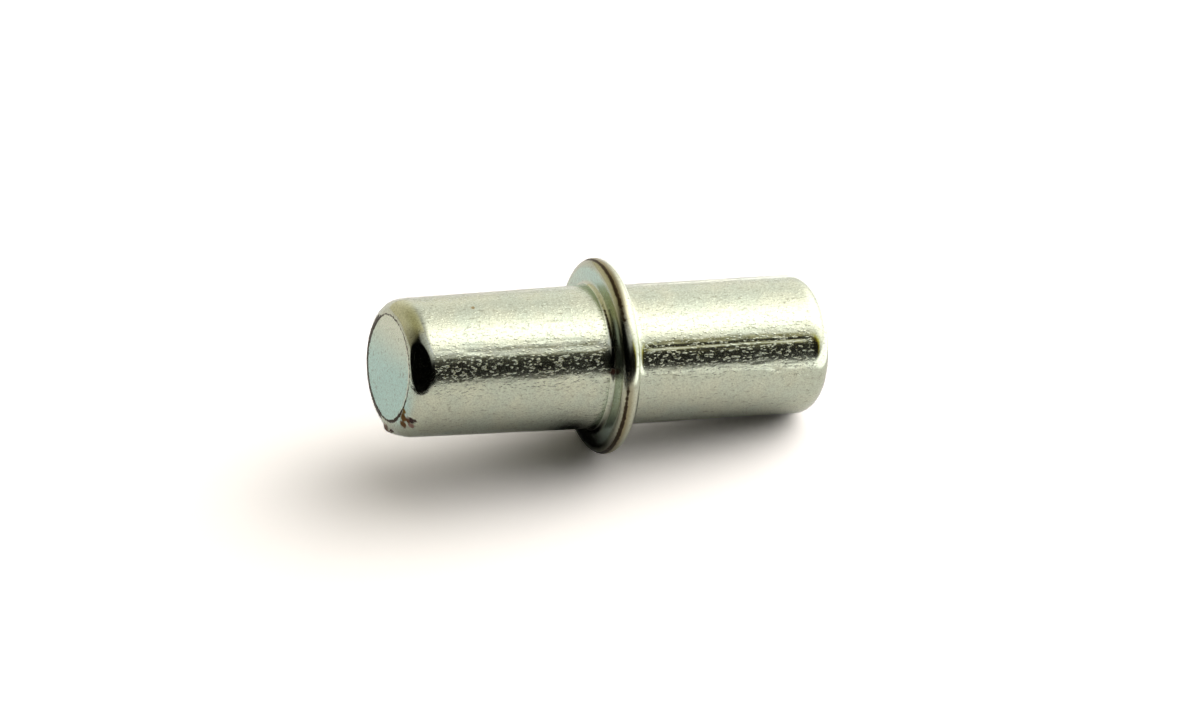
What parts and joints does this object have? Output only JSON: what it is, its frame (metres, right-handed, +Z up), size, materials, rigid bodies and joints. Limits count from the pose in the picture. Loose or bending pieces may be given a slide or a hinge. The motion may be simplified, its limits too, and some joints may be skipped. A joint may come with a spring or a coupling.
{
  "type": "shelf support pin",
  "caption": "Round zinc-plated steel shelf pin with a thin collar between two stems: one stem fits a drilled panel hole, the other carries the shelf.",
  "frame": {"origin": "on the floor below the middle of the pin's box, with the pin lying at rest on its collar and its straight stem's end", "axes": "+X along the floor from the raised cropped end to the straight stem's end, +Z up; the pin's own axis dips 7.85 degrees below +X"},
  "size_m": [0.0164, 0.007, 0.007],
  "materials": {
    "zinc_plated_steel": "zinc plate, dull bright, pale yellow-grey, finely pitted with drawing lines along the stems"
  },
  "bodies": {
    "root": {"shelf_support_pin": "zinc_plated_steel"}
  },
  "joints": []
}
